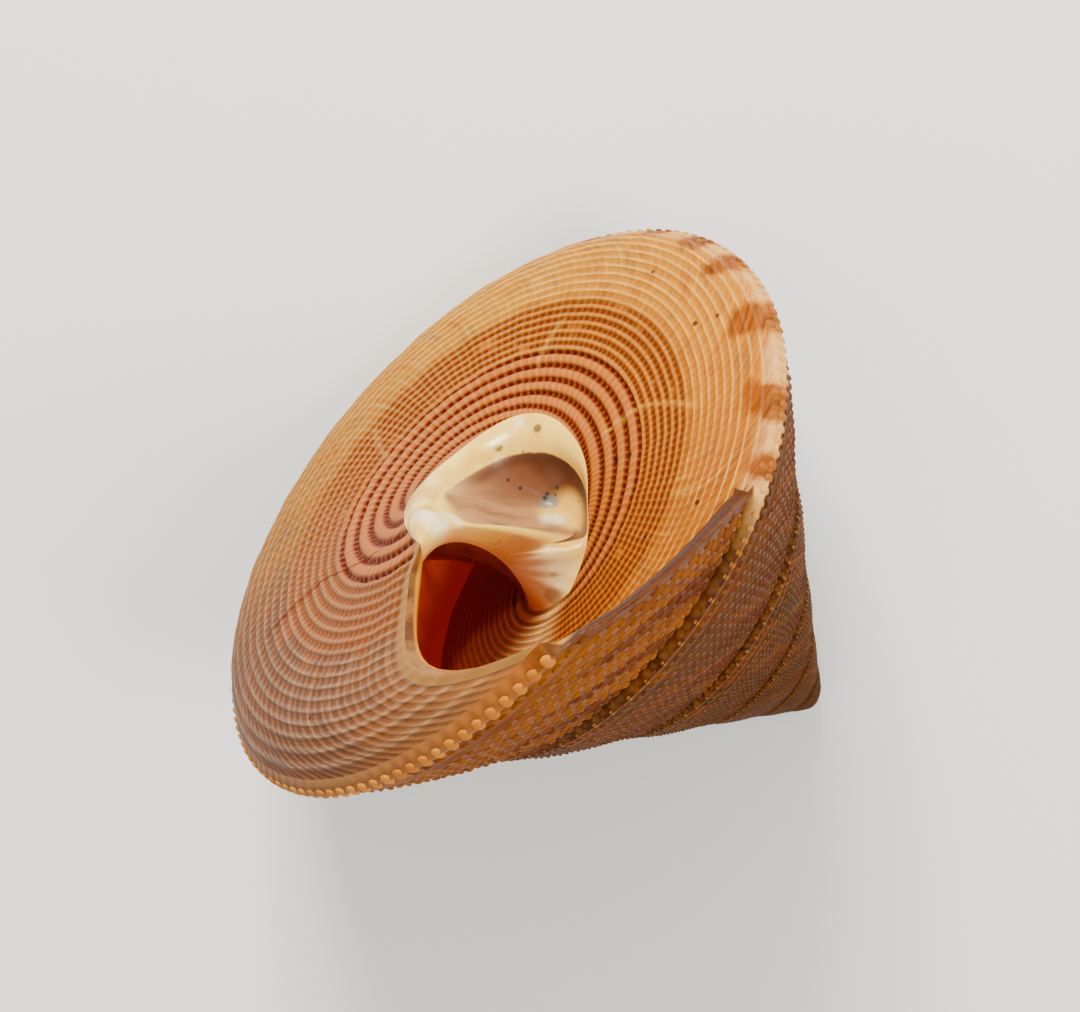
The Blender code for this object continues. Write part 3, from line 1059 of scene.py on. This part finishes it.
# colours of callus, funnel and pillar, and the places of their marks, some with a radius and a height
callusLook = {
    "ivory": colour(255, 216, 92),
    "cream": colour(232, 160, 42),
    "white": colour(255, 240, 196),
    "stain": colour(104, 74, 26),
    "taupe": colour(128, 82, 54),
    "rose": colour(98, 56, 34),
    "nacre": colour(204, 150, 100),
    "yellow": colour(255, 204, 84),
    "shadeUnderArch": colour(76, 42, 24),
    "blue": colour(96, 116, 122),
    "foot": colour(110, 56, 30),
    "tan": colour(208, 150, 76),
    "honey": colour(242, 188, 96),
    "umberShade": colour(84, 30, 0),
    "dirt": colour(26, 22, 20),
    "ground": [(-400.0, "cream"), (-330.0, "ivory"), (-60.0, "ivory"), (-30.0, "cream")],
    "archSpecks": [((0.00525, 0.00657, 0.01660), 0.00032), ((0.00500, 0.00700, 0.01660), 0.00020),
                   ((0.00271, 0.00762, 0.01671), 0.00034)],
    "bowlDirt": [((0.00209, 0.00339, 0.01510), 0.00022), ((0.00320, 0.00321, 0.01536), 0.00020),
                 ((0.00158, 0.00494, 0.01578), 0.00014), ((0.00151, 0.00581, 0.01625), 0.00012),
                 ((0.00240, 0.00345, 0.01515), 0.00016), ((0.00275, 0.00300, 0.01520), 0.00014),
                 ((0.00190, 0.00365, 0.01515), 0.00012), ((0.00356, 0.00628, 0.01650), 0.00012)],
    "boss": [((0.00220, 0.00165, 0.01635), 0.0018)],
    "pearl": [((0.00150, 0.00190, 0.01725), 0.0009)],
    "knobs": [((-0.00190, 0.00645, 0.02795), 0.0012), ((-0.00135, 0.00585, 0.02610), 0.0009)],
    "bumps": [((0.00220, 0.00165, 0.01635), 0.0015, 0.00060),
              ((-0.00190, 0.00645, 0.02795), 0.0011, 0.00060),
              ((-0.00135, 0.00585, 0.02610), 0.0008, 0.00040),
              ((-0.00090, 0.00730, 0.02585), 0.0007, -0.00022)],
    "blueSpot": [((0.00197, 0.00275, 0.01509), 0.0008)],
    "footPale": [((-0.00090, 0.00030, 0.01880), 0.0024)],
    "footSpot": [((-0.00170, -0.00140, 0.01885), 0.0008)],
    "streakWay": (0.34, -0.39, -0.855),
    "mix": {"cream": 0.6, "white": 0.7, "knobs": 0.85, "stains": 0.4, "specks": 0.9, "nacre": 0.75,
            "umberShade": (0.45, 0.95), "under": 0.6, "boss": 0.8, "blueSpot": 0.7, "crumbs": 0.9,
            "tan": 0.45, "footPale": 0.55, "footSpot": 0.5, "pillarStains": 0.5},
    "arch": {"Roughness": 0.28, "Coat Weight": 0.25, "Coat Roughness": 0.12},
    "funnel": {"Roughness": 0.36, "Coat Weight": 0.15, "Coat Roughness": 0.2},
    "pillar": {"Roughness": 0.42, "Specular IOR Level": 0.3, "Coat Weight": 0.05, "Coat Roughness": 0.12},
}


def marked(spot, tone, name, over):
    return paint(spots(spot, callusLook[name]) * callusLook["mix"][name], tone, over)


def callusFinish():
    look = callusLook
    mix = look["mix"]
    material, shader = newFinish("callusFinish")
    spot = objectPoint()
    fine = noise(spot, 900.0)
    tone = along(attribute("growthAngle"), look, look["ground"])
    tone = paint(rise(noise(spot, 220.0), 0.46, 0.64) * mix["cream"], tone, look["cream"])
    tone = paint(rise(noise(spot, 500.0, 2.0), 0.55, 0.72) * mix["white"], tone, look["white"])
    tone = marked(spot, tone, "knobs", look["white"])
    stains = rise(noise(spot, 640.0), 0.68, 0.76) * mix["stains"]
    specks = spots(spot, look["archSpecks"]) * rise(fine, 0.38, 0.55)
    tone = paint(calc("MAXIMUM", stains, specks * mix["specks"]), tone, look["stain"])
    height = noise(spot, 700.0, 2.0) + fine * 0.25
    fill(shader, {**look["arch"], "Base Color": tone, "Normal": relief(height, 0.00010, 0.6)})
    return material


def funnelFinish():
    look = callusLook
    mix = look["mix"]
    material, shader = newFinish("funnelFinish")
    around, depth = attribute("growthAngle"), attribute("growthLine")
    spot = objectPoint()
    streak = noise(stretched(spot, look["streakWay"], 0.16), 640.0, 4.0)
    cloud = noise(stretched(spot, look["streakWay"], 0.4), 260.0, 2.0)
    bowl = paint(rise(cloud, 0.38, 0.62), look["taupe"], look["rose"])
    pearly = rise(around, 185.0, 290.0) * rise(streak, 0.30, 0.62)
    bowl = paint(pearly * mix["nacre"], bowl, look["nacre"])
    # painted shade on the funnel's far wall under the arch, in umber broken by the streaks
    farWallShade = rise(around, 15.0, 50.0) * fall(around, 100.0, 175.0)
    bowl = paint(farWallShade * blend(streak, *mix["umberShade"]), bowl, look["umberShade"])

    # pale rim: narrow under the arch, wide and soft over the pillar's edge
    reach = blend(rise(around, 300.0, 345.0), 0.05, 0.26)
    rim = fall(depth + (streak - 0.5) * 0.10, reach * 0.2, reach)
    tone = paint(rim, bowl, look["ivory"])
    # painted shade: a darker band just below the arch's overhanging edge
    under = hill(depth, 0.11, 0.10) * fall(around, 215.0, 260.0)
    tone = paint(under * mix["under"], tone, look["shadeUnderArch"])

    # yellow pearly boss, a blue-grey spot deep in the funnel and crumbs of dirt
    pearl = paint(spots(spot, look["pearl"]), look["yellow"], look["white"])
    tone = marked(spot, tone, "boss", pearl)
    tone = marked(spot, tone, "knobs", look["white"])
    tone = marked(spot, tone, "blueSpot", look["blue"])
    crumbs = rise(noise(spot, 1500.0, 1.0), 0.76, 0.80)
    crumbs = calc("MAXIMUM", crumbs, spots(spot, look["bowlDirt"]))
    tone = paint(crumbs * mix["crumbs"], tone, look["dirt"])
    fill(shader, {**look["funnel"], "Base Color": tone, "Normal": relief(streak, 0.00012, 0.6)})
    return material


def pillarFinish():
    look = callusLook
    material, shader = newFinish("pillarFinish")
    spot = objectPoint()
    across = attribute("growthLine")
    tone = paint(rise(noise(spot, 240.0), 0.36, 0.58), look["honey"], look["ivory"])
    tone = paint(rise(across, 0.80, 1.0) * look["mix"]["tan"], tone, look["tan"])
    tone = marked(spot, tone, "knobs", look["white"])
    tone = marked(spot, tone, "footPale", look["white"])
    tone = marked(spot, tone, "footSpot", look["foot"])
    stains = rise(noise(spot, 800.0), 0.66, 0.74)
    tone = paint(stains * look["mix"]["pillarStains"], tone, look["stain"])
    height = noise(spot, 900.0, 2.0)
    fill(shader, {**look["pillar"], "Base Color": tone, "Normal": relief(height, 0.00008, 0.6)})
    return material


# the glow stands for light that comes through the thin wall
mouthLook = {
    "deep": colour(86, 3, 0),
    "red": colour(124, 34, 4),
    "amber": colour(150, 66, 12),
    "amberShare": 0.45,
    "glow": (0.05, 2.1),
    "streaks": (0.06, 0.25, 0.0, 2.4, 4.0),
    "gloss": {"Roughness": 0.2, "Coat Weight": 0.15, "Coat Roughness": 0.08},
}


def mouthFinish():
    look = mouthLook
    material, shader = newFinish("mouthFinish")
    line, number = attribute("growthLine"), attribute("cordNumber")
    streak = growthNoise(line, number, look["streaks"])
    tone = paint(rise(streak, 0.20, 0.60), look["deep"], look["red"])
    # painted shade: a dark band along the hollow's first strip by the suture; the same dark red is also the
    # ground of the streaks
    tone = paint(rise(number, 57.2, 59.2), tone, look["deep"])
    nearLip = rise(line, 6.0, 26.0) * rise(number, 41.0, 46.0)
    tone = paint(nearLip * look["amberShare"], tone, look["amber"])
    glow = rise(number, 40.0, 50.0) * blend(rise(line, -10.0, 26.0), 1.0, 0.3)
    height = noise(objectPoint(), 500.0, 2.0)
    fill(shader, {**look["gloss"], "Base Color": tone, "Emission Color": tone,
                  "Emission Strength": blend(glow, *look["glow"]), "Normal": relief(height, 0.00008, 0.5)})
    return material


lipLook = {
    "pink": colour(148, 100, 48),
    "yellow": colour(206, 140, 20),
    "mauve": colour(90, 46, 14),
    "brown": colour(58, 22, 2),
    "folds": (0.03, 1.0, 0.0, 5.0, 4.0),
    "roughness": 0.4,
}


def lipFinish():
    look = lipLook
    material, shader = newFinish("lipFinish")
    angle, across, cord = tags()
    spot = objectPoint()
    tone = paint(rise(noise(spot, 420.0), 0.4, 0.65), look["pink"], look["mauve"])
    tone = paint(rise(across, 0.34, 0.60), tone, look["yellow"])
    brown = paint(fall(across, 0.15, 0.45), look["brown"], look["mauve"])
    folds = growthNoise(angle, across, look["folds"])
    brown = paint(rise(folds, 0.45, 0.65), brown, look["brown"])
    tone = paint(rise(cord, 20.6, 21.6), tone, brown)
    fill(shader, {"Base Color": tone, "Roughness": look["roughness"], "Specular IOR Level": 0.15,
                  "Normal": relief(noise(spot, 1500.0), 0.00014, 0.8)})
    return material


shell = buildShell()
makers = {"base": baseFinish, "side": sideFinish, "callus": callusFinish, "funnel": funnelFinish,
          "pillar": pillarFinish, "mouth": mouthFinish, "lip": lipFinish}
for name in finishes:
    shell.data.materials.append(makers[name]())
beadLook = beadFinish()
print("finishes mixed:", ", ".join(finishes))

# beads: one small ball repeated along the keel and along the cords of the side
beadForm = {
    "step": 2.6,
    "keelBack": 1500.0,
    "keelInset": 0.994,
    "keelSize": (0.0165, 0.0074, 0.0180),
    "keelFaces": (10, 6),
    "olderKeel": 0.66,
    "cordBack": 1100.0,
    "cordSize": (0.0125, 0.0034, 0.0078),
    "cordFaces": (6, 4),
    "keelUneven": 0.05,
    "cordUneven": 0.16,
    "seed": 7,
}


# a path of points that carry their size, tags and the two directions of a bead
def beadPath(name, angles, pointAt):
    here = pointAt(angles)
    ahead = pointAt(angles + 0.5)[:, :3] - here[:, :3]
    wayOut = np.stack([here[:, 0], here[:, 1], 0.0 * here[:, 0]], axis=-1)
    wayOut = wayOut / np.linalg.norm(wayOut, axis=1)[:, None]
    mesh = bpy.data.meshes.new(name)
    mesh.from_pydata((here[:, :3] * shellForm["keelRadius"]).tolist(), [], [])
    mesh.transform(layDown)
    turn = np.array(layDown.to_3x3()).T
    older = np.clip((-330.0 - angles) / 25.0, 0.0, 1.0) * (here[:, 5] < keelCord + 0.1)
    scale = growth(angles) * shellForm["keelRadius"] * (1.0 - (1.0 - beadForm["olderKeel"]) * older)
    scalars = {"beadScale": scale, "growthAngle": here[:, 3],
               "growthLine": here[:, 4], "cordNumber": here[:, 5]}
    for key, values in scalars.items():
        column = mesh.attributes.new(key, "FLOAT", "POINT")
        column.data.foreach_set("value", values.astype(np.float32))
    for key, values in {"ahead": ahead @ turn, "wayOut": wayOut @ turn}.items():
        column = mesh.attributes.new(key, "FLOAT_VECTOR", "POINT")
        column.data.foreach_set("vector", values.astype(np.float32).ravel())
    return newObject(name, mesh)


# a ball repeated on a path's points, turned and sized by their attributes and a little uneven
def beadTree():
    tree = bpy.data.node_groups.new("beadRow", "GeometryNodeTree")
    for name, kind in {"Path": "Geometry", "Bead size": "Vector", "Segments": "Int", "Rings": "Int",
                       "Uneven": "Float", "Seed": "Int", "Finish": "Material"}.items():
        tree.interface.new_socket(name, in_out="INPUT", socket_type="NodeSocket" + kind)
    tree.interface.new_socket("Beads", in_out="OUTPUT", socket_type="NodeSocketGeometry")
    kinds = {"start": "NodeGroupInput", "end": "NodeGroupOutput", "ball": "GeometryNodeMeshUVSphere",
             "beadScale": "GeometryNodeInputNamedAttribute", "ahead": "GeometryNodeInputNamedAttribute",
             "wayOut": "GeometryNodeInputNamedAttribute", "turn": "FunctionNodeAxesToRotation",
             "random": "FunctionNodeRandomValue", "low": "ShaderNodeMath", "high": "ShaderNodeMath",
             "grow": "ShaderNodeVectorMath", "vary": "ShaderNodeVectorMath",
             "repeat": "GeometryNodeInstanceOnPoints", "real": "GeometryNodeRealizeInstances",
             "smooth": "GeometryNodeSetShadeSmooth", "dress": "GeometryNodeSetMaterial"}
    made = {key: tree.nodes.new(kind) for key, kind in kinds.items()}
    made["ball"].inputs["Radius"].default_value = 1.0
    for key, kind in {"beadScale": "FLOAT", "ahead": "FLOAT_VECTOR", "wayOut": "FLOAT_VECTOR"}.items():
        made[key].data_type = kind
        made[key].inputs["Name"].default_value = key
    made["turn"].primary_axis = "X"
    made["turn"].secondary_axis = "Y"
    made["random"].data_type = "FLOAT"
    for key, operation in {"low": "SUBTRACT", "high": "ADD", "grow": "SCALE", "vary": "SCALE"}.items():
        made[key].operation = operation
    made["low"].inputs[0].default_value = 1.0
    made["high"].inputs[0].default_value = 1.0
    for source, output, target, entry in (
            ("start", "Segments", "ball", "Segments"), ("start", "Rings", "ball", "Rings"),
            ("start", "Uneven", "low", 1), ("start", "Uneven", "high", 1),
            ("low", 0, "random", 2), ("high", 0, "random", 3), ("start", "Seed", "random", "Seed"),
            ("start", "Bead size", "grow", 0), ("beadScale", "Attribute", "grow", "Scale"),
            ("grow", 0, "vary", 0), ("random", 1, "vary", "Scale"),
            ("ahead", "Attribute", "turn", 0), ("wayOut", "Attribute", "turn", 1),
            ("start", "Path", "repeat", "Points"), ("ball", "Mesh", "repeat", "Instance"),
            ("turn", "Rotation", "repeat", "Rotation"), ("vary", 0, "repeat", "Scale"),
            ("repeat", "Instances", "smooth", "Geometry"), ("smooth", "Geometry", "real", "Geometry"),
            ("real", "Geometry", "dress", "Geometry"), ("start", "Finish", "dress", "Material"),
            ("dress", "Geometry", "end", 0)):
        tree.links.new(made[source].outputs[output], made[target].inputs[entry])
    return tree


beadRow = beadTree()


def addBeads(name, path, size, faces, uneven):
    modifier = path.modifiers.new("beads", "NODES")
    modifier.node_group = beadRow
    ids = {item.name: item.identifier for item in beadRow.interface.items_tree if item.in_out == "INPUT"}
    values = {"Bead size": size, "Segments": faces[0], "Rings": faces[1], "Uneven": uneven,
              "Seed": beadForm["seed"], "Finish": beadLook}
    for key, value in values.items():
        modifier[ids[key]] = value
    bpy.context.view_layer.update()
    graph = bpy.context.evaluated_depsgraph_get()
    mesh = bpy.data.meshes.new_from_object(path.evaluated_get(graph), preserve_all_data_layers=True,
                                           depsgraph=graph)
    path.modifiers.remove(modifier)
    bpy.data.objects.remove(path)
    beads = newObject(name, mesh)
    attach(beads, "root")
    print(name, len(mesh.polygons), "faces")


def keelBeads():
    form = beadForm
    start = shellForm["lipAtSuture"] - shellForm["keelLag"] - 1.0
    angles = start - form["step"] * np.arange(round(form["keelBack"] / form["step"]))

    def onKeel(angle):
        return sidePoint(angle, 1.0) * np.array([form["keelInset"], form["keelInset"], 1, 1, 1, 1])

    path = beadPath("keelPath", angles, onKeel)
    addBeads("keelBeads", path, form["keelSize"], form["keelFaces"], form["keelUneven"])


def cordBeads():
    form = beadForm
    start = shellForm["lipAtSuture"] - 2.0
    columns = start - form["step"] * np.arange(round(form["cordBack"] / form["step"]))
    cords = [(number + 0.5) / cordForm["sideCords"] for number in range(1, cordForm["sideCords"] - 1)]
    angles = np.concatenate([columns - shellForm["keelLag"] * share for share in cords])
    shares = np.concatenate([np.full(len(columns), share) for share in cords])

    def onCord(angle):
        rows = np.stack([sidePoint(angle, share) for share in cords])
        return rows[np.searchsorted(cords, shares), np.arange(len(shares))]

    path = beadPath("cordPath", angles, onCord)
    addBeads("cordBeads", path, form["cordSize"], form["cordFaces"], form["cordUneven"])


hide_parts("shell")
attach(shell, "root")
keelBeads()
cordBeads()

# the camera looks at the base as the photograph does
cameraFit = {"place": (6.38930, 0.11837, -4.89446), "turn": (-0.33633, 0.98804, 0.56929), "lens": 104.44}


def aimCamera():
    turn = Vector(cameraFit["turn"])
    world = Quaternion(turn.normalized(), turn.length).to_matrix()
    frameAxes = Matrix((world[0], -world[1], -world[2])).transposed().to_4x4()
    frameAxes.translation = Vector(cameraFit["place"]) * shellForm["keelRadius"]
    data = bpy.data.cameras.new("camera")
    data.lens = cameraFit["lens"]
    data.sensor_width = 36.0
    data.clip_start = 0.001
    camera = newObject("camera", data)
    camera.matrix_world = layDown @ frameAxes
    bpy.context.scene.camera = camera
    return camera


camera = aimCamera()

# plain pale floor and soft lights
floorForm = {"size": 3.0, "colour": (0.90, 0.93, 0.965, 1.0), "roughness": 0.8}
lightForm = {
    "key": {"across": -18.0, "up": 50.0, "power": 2.3, "size": 0.12},
    "fill": {"across": 30.0, "up": -12.0, "power": 0.9, "size": 0.12},
    "away": 0.35,
    "tint": (1.0, 0.94, 0.83),
}
skyForm = {"colour": (1.0, 0.95, 0.87, 1.0), "strength": 0.78}


def layFloor():
    bpy.ops.mesh.primitive_plane_add(size=floorForm["size"])
    floor = bpy.context.object
    floor.name = "floor"
    material, shader = newFinish("paleFloor")
    fill(shader, {"Base Color": floorForm["colour"], "Roughness": floorForm["roughness"]})
    floor.data.materials.append(material)


def hangLights():
    middle = Vector([(a + b) / 2 for a, b in zip(*cadBox)])
    axes = camera.matrix_world.to_3x3()
    for name in ("key", "fill"):
        form = lightForm[name]
        data = bpy.data.lights.new(name, "AREA")
        data.energy = form["power"]
        data.color = lightForm["tint"]
        data.size = form["size"]
        lamp = newObject(name, data)
        across, up = math.radians(form["across"]), math.radians(form["up"])
        way = Vector((math.sin(across) * math.cos(up), math.sin(up), math.cos(across) * math.cos(up)))
        way = axes @ way
        lamp.location = middle + way * lightForm["away"]
        lamp.rotation_euler = way.to_track_quat("Z", "Y").to_euler()
    world = bpy.data.worlds.new("studio")
    world.use_nodes = True
    fill(world.node_tree.nodes["Background"], {"Color": skyForm["colour"], "Strength": skyForm["strength"]})
    bpy.context.scene.world = world


layFloor()
hangLights()
print("camera, floor and lights in place")
